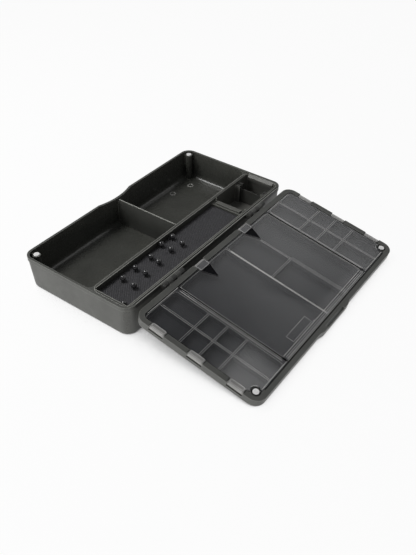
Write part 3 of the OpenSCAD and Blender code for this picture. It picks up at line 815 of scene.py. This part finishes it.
# a painted highlight along the rim round each bay
EDGE_LINE = (0.35 * MM, 0.09 * MM)
BAY_CORNER = 4.4 * MM
rims = bmesh.new()
out = EDGE_LINE[0] / 2
for x0, x1 in ((-MID_BAY, MID_BAY), END_BAY, (-END_BAY[1], -END_BAY[0])):
    edge = round_path(x0 - out, BAY_S[0] - out, x1 + out, BAY_S[1] + out, BAY_CORNER)
    bead(rims, edge, EDGE_LINE, RECESS_H, closed=True, at=LID)
beads_piece("bay_rim_highlights", rims, "lid", RIM_HIGHLIGHT)

# painted shade in the seams between the covers, round them, their clips and the magnets
MID_COVER = 103.4 * MM
END_COVER = (104.2 * MM, 171.6 * MM)
CLIP_S = (34.5 * MM, 92 * MM, 149.5 * MM)
CLIP_W = 22 * MM
MAGNET_X = 167 * MM
MAGNET_S = 170.5 * MM
SEAM = (0.8 * MM, 0.08 * MM)
OUTER_SEAM = (1 * MM, 0.08 * MM)
OUTER_SEAM_S = (RECESS_S[0] + 4 * MM, 160 * MM)
CROSS_SEAM_S = (RECESS_S[0] + 0.45 * MM, RECESS_S[1] - 0.4 * MM)
SEAT_RING = (1.1 * MM, 0.1 * MM)
SEAT_RING_R = 4.6 * MM
SEAT_RING_H = -1 * MM
BOSS_RING = (0.9 * MM, 0.06 * MM)
BOSS_RING_R = 5.7 * MM
NOTCH = (1.1 * MM, 0.06 * MM)
NOTCH_GAP = 0.6 * MM
NOTCH_X = (172.8 * MM, 177.6 * MM)
FRONT_SEAM = (1.2 * MM, 0.06 * MM)
FRONT_SEAM_S = RECESS_S[1] + 0.55 * MM
FRONT_SEAM_X = 158 * MM
seams = bmesh.new()
for side in (-1, 1):
    between = side * (MID_COVER + END_COVER[0]) / 2
    bead(seams, [(between, s) for s in RECESS_S], SEAM, RECESS_H, at=LID)
    outer = side * (END_COVER[1] + RECESS_X) / 2
    bead(seams, [(outer, s) for s in OUTER_SEAM_S], OUTER_SEAM, RECESS_H, at=LID)
    for radius, line, height in (
            (SEAT_RING_R, SEAT_RING, SEAT_RING_H), (BOSS_RING_R, BOSS_RING, 0)):
        ring = circle_path(side * MAGNET_X, MAGNET_S, radius)
        bead(seams, ring, line, height, closed=True, at=LID)
    for s in CLIP_S:
        for end in (s - CLIP_W / 2 - NOTCH_GAP, s + CLIP_W / 2 + NOTCH_GAP):
            bead(seams, [(side * x, end) for x in NOTCH_X], NOTCH, at=LID)
for s in CROSS_SEAM_S:
    bead(seams, [(-MID_COVER, s), (MID_COVER, s)], SEAM, RECESS_H, at=LID)
bead(seams, [(-FRONT_SEAM_X, FRONT_SEAM_S), (FRONT_SEAM_X, FRONT_SEAM_S)], FRONT_SEAM, at=LID)
beads_piece("cover_seams", seams, "lid", SHADE_PAINT)

# a painted highlight along the top of the middle wall, wider over its first half
PALE_FROM = BAY_S[0] + 8 * MM
PALE_LINE = (1.1 * MM, 0.5 * MM)
WIDE_PALE_LINE = (1.8 * MM, 0.6 * MM)
pale = bmesh.new()
bead(pale, [(0, PALE_FROM), (0, BAY_S[1] - 2 * MM)], PALE_LINE, WALL_TOP - 0.35 * MM, at=LID)
bead(pale, [(0, PALE_FROM), (0, BAY_S[0] + 95 * MM)], WIDE_PALE_LINE, WALL_TOP - 0.4 * MM, at=LID)
beads_piece("middle_wall_line", pale, "lid", PALE_HIGHLIGHT)

for body in ("base", "lid"):
    for end in ("near", "far"):
        dressed(f"{body}_magnet_{end}", body, NICKEL, width=0.5 * MM)


# ---------------------------------------------------------------- covers
COVER_TOP = -0.5 * MM
COVER_UNDER = -2 * MM
COVER_S = (8.4 * MM, 175.6 * MM)
CLIP_FROM = END_COVER[1] + 0.5 * MM
CLIP_X = 176.6 * MM
CLIP_H = -2.7 * MM
CLIP_R = 3 * MM
MID_CLIP_X = 51 * MM
MID_CLIP_S = 3.4 * MM
MID_CLIP_W = 21 * MM
TAB_TO = 14 * MM
WEDGE_S = (13.1 * MM, 34.1 * MM)
WEDGE_HALF = 9 * MM


def cut_x(x):
    """A cut through the lid across x."""
    return LID @ Vector((x, 0, 0)), Vector((1, 0, 0))


def cut_s(s):
    """A cut through the lid across s."""
    return LID @ Vector((0, s, 0)), lid_out


def wedge_cuts():
    """Cuts along the base and both slanting sides of each wedge of the middle cover."""
    cuts = [cut_s(WEDGE_S[0])]
    for x in (-MID_CLIP_X, MID_CLIP_X):
        for side in (-1, 1):
            way = LID.to_3x3() @ Vector((WEDGE_S[1] - WEDGE_S[0], side * WEDGE_HALF, 0))
            cuts.append((LID @ Vector((x, WEDGE_S[1], 0)), way.normalized()))
    return cuts


def over_wedge(q):
    """True inside the triangle that each wedge of the middle cover makes in plan."""
    reach = (WEDGE_S[1] - q.y) / (WEDGE_S[1] - WEDGE_S[0])
    return 0 < reach < 1 and abs(abs(q.x) - MID_CLIP_X) < WEDGE_HALF * reach


def on_edge(q):
    """True on the upright edges of the covers' plates."""
    return COVER_UNDER + 0.2 * MM < q.z < COVER_TOP - 0.1 * MM


def under_cover(q):
    """True on what stands below the middle cover's plate, away from its clips."""
    return q.z < COVER_UNDER - 0.1 * MM and q.y > COVER_S[0] + 1 * MM


def on_tab(q):
    """True on what stands above the middle cover's plate by its clips."""
    return q.y < TAB_TO and q.z > COVER_TOP + 0.05 * MM


def dark_on_middle(q):
    return on_edge(q) or over_wedge(q) or under_cover(q)


def dressed_cover(body, cuts):
    return dressed(body, body, CLEAR, width=0.3 * MM, cuts=cuts)


near_shell = dressed_cover("near_cover", [cut_x(CLIP_FROM)])
far_shell = dressed_cover("far_cover", [cut_x(-CLIP_FROM)])
mid_shell = dressed_cover("middle_cover", [cut_s(MID_CLIP_S)] + wedge_cuts())
for shell in (near_shell, far_shell):
    # the covers' upright edges, painted near-black as shade in the gaps
    repaint(shell, WEDGE_AND_EDGE_SHADE, lambda p: on_edge(on_lid(p)))
    repaint(shell, CLIP_CLEAR, lambda p: abs(on_lid(p).x) > CLIP_FROM)
# the middle cover's edges painted near-black as shade; its wedges and what stands under it
# near-black too
repaint(mid_shell, WEDGE_AND_EDGE_SHADE, lambda p: dark_on_middle(on_lid(p)))
repaint(mid_shell, TAB_CLEAR, lambda p: on_tab(on_lid(p)))
repaint(mid_shell, CLIP_CLEAR, lambda p: on_lid(p).y < MID_CLIP_S)

CLIP_END = 1.6 * MM
CLIP_RING = (0.6 * MM, 0.28 * MM)
CLIP_RING_CORNER = 1.2 * MM
CLIP_BAR = (0.6 * MM, 0.22 * MM)
CLIP_BAR_ANGLES = (35, 65)


def clip_ridges(shape, at, width, reach):
    """Ridges on a clip: a long ring on its flat top, and bars along its round back.

    `at` takes x along the clip, y away from its cover and z up, from the middle of the clip's
    pin, and the ring goes back by reach towards the cover."""
    half = width / 2 - CLIP_END
    ring = round_path(-half, -reach, half, 0.1 * MM, CLIP_RING_CORNER)
    bead(shape, ring, CLIP_RING, CLIP_R - 0.02 * MM, closed=True, at=at)
    for angle in CLIP_BAR_ANGLES:
        turn = Matrix.Rotation(math.radians(-angle), 4, "X")
        bead(shape, [(-half, 0), (half, 0)], CLIP_BAR, CLIP_R - 0.03 * MM, at=at @ turn)


# Lines on the covers, raised and painted pale as highlights or dark as shade, each by its width
# and rise
COVER_LINE = (0.5 * MM, 0.2 * MM)
FAINT_LINE = (0.35 * MM, 0.1 * MM)
FAINT_LINE_H = -0.02 * MM
DARK_EDGE = (1.4 * MM, 0.06 * MM)
SIDE_LINE = (0.35 * MM, 0.15 * MM)
BAND_LINE = (0.6 * MM, 0.25 * MM)
FRONT_LINE = (0.5 * MM, 0.3 * MM)
CROWN_LINE = (0.45 * MM, 0.14 * MM)
NUB_LINE = (0.8 * MM, 0.5 * MM)
PANEL_LINE = (0.3 * MM, 0.1 * MM)

FREE_IN = 4.4 * MM          # from an end cover's free edge to the line along it
FAINT_IN = 2.1 * MM
DARK_IN = 0.75 * MM
SIDE_IN = 1.2 * MM
CORNER_IN = 1.5 * MM
CLIP_SIDE_IN = 7 * MM
BOSS_R = 8.2 * MM           # the line that runs round the magnet's boss
BOSS_DEGREES = range(16, 80, 4)
CLIP_REACH = 4.6 * MM
MID_CLIP_REACH = 9 * MM


def end_cover_lines(side, body):
    """The lines of an end cover, painted pale as highlights and dark as shade, and its clips'
    ridges, mirrored by side.
    """
    at = LID @ Matrix.Diagonal((side, 1, 1, 1))
    low_s, high_s = COVER_S[0] + SIDE_IN, COVER_S[1] - SIDE_IN
    corner_x = END_COVER[0] + CORNER_IN
    lines = bmesh.new()
    x = END_COVER[0] + FAINT_IN
    bead(lines, [(x, COVER_S[0] + 8 * MM), (x, COVER_S[1] - 8 * MM)],
         FAINT_LINE, FAINT_LINE_H, at=at)
    # painted shade along the gap at the cover's inner edge
    dark = bmesh.new()
    x = END_COVER[0] + DARK_IN
    bead(dark, [(x, COVER_S[0] + 4 * MM), (x, COVER_S[1] - 4 * MM)],
         DARK_EDGE, FAINT_LINE_H, at=at)
    beads_piece(f"{body}_edge", dark, body, WEDGE_AND_EDGE_SHADE)
    free_x = END_COVER[0] + FREE_IN
    bead(lines, [(free_x, low_s + 5 * MM), (free_x, high_s - 5 * MM)],
         COVER_LINE, COVER_TOP, at=at)
    bead(lines, [(corner_x, low_s), (END_COVER[1] - CLIP_SIDE_IN, low_s)],
         COVER_LINE, COVER_TOP, at=at)
    bead(lines, [(corner_x, high_s), (MAGNET_X - BOSS_R, high_s)],
         COVER_LINE, COVER_TOP, at=at)
    arc = [(MAGNET_X - BOSS_R * math.cos(a), MAGNET_S - BOSS_R * math.sin(a))
           for a in map(math.radians, BOSS_DEGREES)]
    bead(lines, arc, COVER_LINE, COVER_TOP, at=at)
    beads_piece(f"{body}_lines", lines, body, HIGHLIGHT_CLEAR)
    ridges = bmesh.new()
    turn = Matrix.Rotation(math.radians(-90), 4, "Z")
    for s in CLIP_S:
        clip_at = at @ Matrix.Translation((CLIP_X, s, CLIP_H)) @ turn
        clip_ridges(ridges, clip_at, CLIP_W, CLIP_REACH)
    beads_piece(f"{body}_clip_ridges", ridges, body, CLIP_HIGHLIGHT)


BAND_IN = 7.5 * MM          # from the middle cover's front edge to its raised band
CROWN_UP = 0.9 * MM
CROWN_LINES_IN = (2.6 * MM, 4.9 * MM)
NUB_X = 26 * MM
NUB_IN = 1.6 * MM
NUB_R = 0.6 * MM
PANEL = (29 * MM, 154 * MM, 74 * MM, 165 * MM)
PANEL_CORNER = 0.8 * MM


def middle_cover_lines():
    """The raised lines, nub and plain oblong panel of the middle cover, painted pale as
    highlights, and its clips' ridges.
    """
    lines = bmesh.new()
    half = MID_BAY + 0.1 * MM
    front = COVER_S[1] - 0.4 * MM
    band = COVER_S[1] - BAND_IN
    band_line = band - 0.4 * MM
    for x in (-half, half):
        bead(lines, [(x, COVER_S[0] + 2 * MM), (x, band - 1.5 * MM)],
             SIDE_LINE, COVER_TOP, at=LID)
    bead(lines, [(-half + 1 * MM, band_line), (half - 1 * MM, band_line)],
         BAND_LINE, COVER_TOP, at=LID)
    bead(lines, [(-half, front), (half, front)], FRONT_LINE, COVER_TOP, at=LID)
    for s in (band + inward for inward in CROWN_LINES_IN):
        bead(lines, [(-half + 2 * MM, s), (half - 2 * MM, s)],
             CROWN_LINE, COVER_TOP + CROWN_UP, at=LID)
    bead(lines, circle_path(NUB_X, band - NUB_IN, NUB_R, 16), NUB_LINE, COVER_TOP,
         closed=True, at=LID)
    bead(lines, round_path(*PANEL, PANEL_CORNER), PANEL_LINE, COVER_TOP, closed=True, at=LID)
    beads_piece("middle_cover_lines", lines, "middle_cover", HIGHLIGHT_CLEAR)
    ridges = bmesh.new()
    turn = Matrix.Rotation(math.pi, 4, "Z")
    for x in (-MID_CLIP_X, MID_CLIP_X):
        clip_at = LID @ Matrix.Translation((x, MID_CLIP_S, CLIP_H)) @ turn
        clip_ridges(ridges, clip_at, MID_CLIP_W, MID_CLIP_REACH)
    beads_piece("middle_cover_clip_ridges", ridges, "middle_cover", CLIP_HIGHLIGHT)


end_cover_lines(1, "near_cover")
end_cover_lines(-1, "far_cover")
middle_cover_lines()

# ribs in the thumb grip's scoop, painted light as highlights, and painted shade in its hollow:
# half length, s, h and line of each
RIB_LINE = (0.5 * MM, 0.35 * MM)
GRIP_RIBS = (
    (20 * MM, 185.3 * MM, -2.8 * MM, RIB_LINE),
    (20 * MM, 184.0 * MM, -2.6 * MM, RIB_LINE),
)
GRIP_SHADE = (
    (21 * MM, 184.65 * MM, -2.6 * MM, (0.9 * MM, 0.3 * MM)),
    (21 * MM, 182.9 * MM, -2.0 * MM, (1.4 * MM, 0.3 * MM)),
)
for name, beads, material in (("thumb_ribs", GRIP_RIBS, HIGHLIGHT_PLASTIC),
                              ("thumb_hollow", GRIP_SHADE, SHADE_PAINT)):
    scoop = bmesh.new()
    for half, s, h, line in beads:
        bead(scoop, [(-half, s), (half, s)], line, h, at=LID)
    beads_piece(name, scoop, "lid", material)

paint(STEEL, "hinge_rod_near", "hinge_rod_far",
      "near_clip_pins", "far_clip_pins", "middle_clip_pins")


# ---------------------------------------------------------------- camera, floor and light
WHITE = (1, 1, 1, 1)


def make_camera():
    data = bpy.data.cameras.new("camera")
    data.lens = CAMERA_LENS
    camera = bpy.data.objects.new("camera", data)
    bpy.context.scene.collection.objects.link(camera)
    turn = CAMERA_LOOK.to_track_quat("-Z", "Y").to_matrix().to_4x4()
    roll = Matrix.Rotation(CAMERA_ROLL, 4, "Z")
    camera.matrix_world = Matrix.Translation(CAMERA_AT) @ turn @ roll
    bpy.context.scene.camera = camera


def seen(tree):
    """1 for what the camera sees directly, and 0 for any other light."""
    return tree.nodes.new("ShaderNodeLightPath").outputs["Is Camera Ray"]


def mirrored(tree):
    """1 for light that a mirror or glass shows, and 0 for any other."""
    path = tree.nodes.new("ShaderNodeLightPath").outputs
    return larger(tree, path["Is Glossy Ray"], path["Is Transmission Ray"])


FLOOR_SIZE = 14
FLOOR_DROP = 0.2 * MM
FLOOR_TINT = (0.86, 0.86, 0.86)
UNDER_TINT = (0.02, 0.02, 0.02)
FLOOR_GLOW = (0.35, 0.93)      # the glow's share where light falls, and where it is looked at
SHADOW_REACH = 0.15            # how near a thing has to be to darken the floor
SHADOW_RANGE = (0.1, 0.42)     # how open the floor is where it is dark, and where it is free


def make_floor():
    """A pale floor that shows almost white, keeps the box's soft shadow and is painted dark as
    shadow beneath it.
    """
    bpy.ops.mesh.primitive_plane_add(size=FLOOR_SIZE, location=(0, 0, -FLOOR_DROP))
    floor = bpy.context.object
    floor.name = "floor"
    mat, tree, shine = shader("floor")
    shine.inputs["Roughness"].default_value = 0.9
    shine.inputs["Specular IOR Level"].default_value = 0.1
    glow = node(tree, "ShaderNodeEmission", {"Color": WHITE, "Strength": 1.0})
    looked_at = larger(tree, seen(tree), mirrored(tree))
    covered = node(tree, "ShaderNodeAmbientOcclusion", {"Distance": SHADOW_REACH}, samples=6)
    free = ramp(tree, covered.outputs["AO"], *SHADOW_RANGE, 0, 1)
    tree.links.new(blend_colour(tree, free, UNDER_TINT, FLOOR_TINT), shine.inputs["Base Color"])
    share = times(tree, ramp(tree, looked_at, 0, 1, *FLOOR_GLOW), free)
    mixed = node(tree, "ShaderNodeMixShader", {0: share, 1: shine.outputs[0], 2: glow.outputs[0]})
    tree.links.new(mixed.outputs[0], tree.nodes["Material Output"].inputs["Surface"])
    floor.data.materials.append(mat)


HORIZON = (0.06, 0.2)          # the mirrored white band fades out between these heights
SKY_GLOW = 0.09                # and leaves this above it
LIT_RANGE = (0.5, -0.6)        # the world's light grows from the hinge side to the front
LIT_GLOW = (0.13, 0.6)
LIT_TINT = (0.98, 0.99, 1.0, 1)


def make_world():
    """White where the camera sees it; in mirrors a white band round the horizon, dim above."""
    world = bpy.data.worlds.new("studio")
    bpy.context.scene.world = world
    world.use_nodes = True
    tree = world.node_tree
    tree.nodes.clear()
    generated = tree.nodes.new("ShaderNodeTexCoord").outputs["Generated"]
    ways = node(tree, "ShaderNodeSeparateXYZ", {0: generated}).outputs
    sweep = ramp(tree, ways["Z"], *HORIZON, 1.0, SKY_GLOW)
    lit = ramp(tree, ways["Y"], *LIT_RANGE, *LIT_GLOW)
    light = node(tree, "ShaderNodeBackground", {"Color": LIT_TINT, "Strength": lit})
    shown = node(tree, "ShaderNodeBackground", {"Color": WHITE, "Strength": sweep})
    white = node(tree, "ShaderNodeBackground", {"Color": WHITE, "Strength": 1.0})
    indirect = node(tree, "ShaderNodeMixShader", {
        0: mirrored(tree), 1: light.outputs[0], 2: shown.outputs[0]})
    mixed = node(tree, "ShaderNodeMixShader", {
        0: seen(tree), 1: indirect.outputs[0], 2: white.outputs[0]})
    out = tree.nodes.new("ShaderNodeOutputWorld")
    tree.links.new(mixed.outputs[0], out.inputs["Surface"])


CEILING_Z = 1.0
CEILING_FROM = (-1.6, -0.4)
CEILING_TO = (-0.3, 1.05)
CEILING_GLOW = 1.06
# The ramps of its glow: the axis, where each begins and ends in metres, and its values there
CEILING_RAMPS = {
    "along": ("X", -0.66, -1.12, 0.18, 1.0),
    "front": ("Y", 0.0, 0.2, 1.0, 0.5),
    "far": ("X", -1.08, -1.22, 0.0, 1.0),
    "main_near": ("X", -0.45, -0.62, 0.0, 1.0),
    "main_front": ("Y", -0.4, -0.2, 0.0, 1.0),
    "inner_back": ("Y", 0.42, 0.32, 0.0, 1.0),
    "corner_front": ("Y", 0.13, 0.17, 0.0, 1.35),
    "corner_far": ("X", -0.66, -0.61, 0.0, 1.0),
    "corner_near": ("X", -0.42, -0.46, 0.0, 1.0),
    "back_front": ("Y", 0.4, 0.5, 0.0, 1.1),
    "back_back": ("Y", 1.05, 0.95, 0.0, 1.0),
    "back_near": ("X", -0.3, -0.4, 0.0, 1.0),
    "all_far": ("X", -1.55, -1.45, 0.0, 1.0),
}


def make_ceiling():
    """A glowing ceiling that only gloss shows.

    Its main patch grows towards the far end and fades towards the back, a small patch lies in
    that one's near back corner, and a third lies behind both."""
    mesh = bpy.data.meshes.new("ceiling")
    (x0, y0), (x1, y1) = CEILING_FROM, CEILING_TO
    corners = [(x, y, CEILING_Z) for x, y in ((x0, y0), (x1, y0), (x1, y1), (x0, y1))]
    mesh.from_pydata(corners, [], [(0, 1, 2, 3)])
    ceiling = bpy.data.objects.new("ceiling", mesh)
    bpy.context.scene.collection.objects.link(ceiling)
    mat = bpy.data.materials.new("ceiling")
    mat.use_nodes = True
    tree = mat.node_tree
    tree.nodes.clear()
    ways = node(tree, "ShaderNodeSeparateXYZ", {0: place(tree)}).outputs
    part = {name: ramp(tree, ways[axis], *numbers)
            for name, (axis, *numbers) in CEILING_RAMPS.items()}
    main = times(tree, part["along"], larger(tree, part["front"], part["far"]))
    main = times(tree, main, times(tree, part["main_near"], part["main_front"]))
    corner = times(tree, part["corner_front"], part["corner_far"])
    corner = times(tree, corner, part["corner_near"])
    glow = times(tree, larger(tree, main, corner), part["inner_back"])
    back = times(tree, part["back_front"], part["back_back"])
    back = times(tree, back, part["back_near"])
    glow = times(tree, larger(tree, glow, back), part["all_far"])
    clouds = ramp(tree, speckle(tree, 5), *PATCHES, 0.85, 1.15)
    strength = times(tree, times(tree, glow, clouds), CEILING_GLOW)
    light = node(tree, "ShaderNodeEmission", {"Color": WHITE, "Strength": strength})
    out = tree.nodes.new("ShaderNodeOutputMaterial")
    tree.links.new(light.outputs[0], out.inputs["Surface"])
    ceiling.data.materials.append(mat)
    ceiling.visible_camera = False
    ceiling.visible_diffuse = False
    ceiling.visible_shadow = False
    ceiling.visible_transmission = False


def softbox(name, at, towards, size, watts):
    """A rectangular lamp that looks at a point."""
    data = bpy.data.lights.new(name, "AREA")
    data.shape = "RECTANGLE"
    data.size, data.size_y = size
    data.energy = watts
    lamp = bpy.data.objects.new(name, data)
    bpy.context.scene.collection.objects.link(lamp)
    lamp.location = at
    look = Vector(towards) - Vector(at)
    lamp.rotation_euler = look.to_track_quat("-Z", "Y").to_euler()
    return lamp


make_camera()
make_floor()
make_world()
near_end = softbox("near_end", at=(1.25, -0.05, 0.13), towards=(0, 0.05, 0.02),
                   size=(1.5, 0.24), watts=9)
near_end.visible_glossy = False
make_ceiling()
softbox("key", at=(0.27, -0.6, 1.2), towards=(0, 0, 0), size=(0.45, 0.45), watts=8.5)

bpy.context.scene.view_settings.view_transform = "Standard"
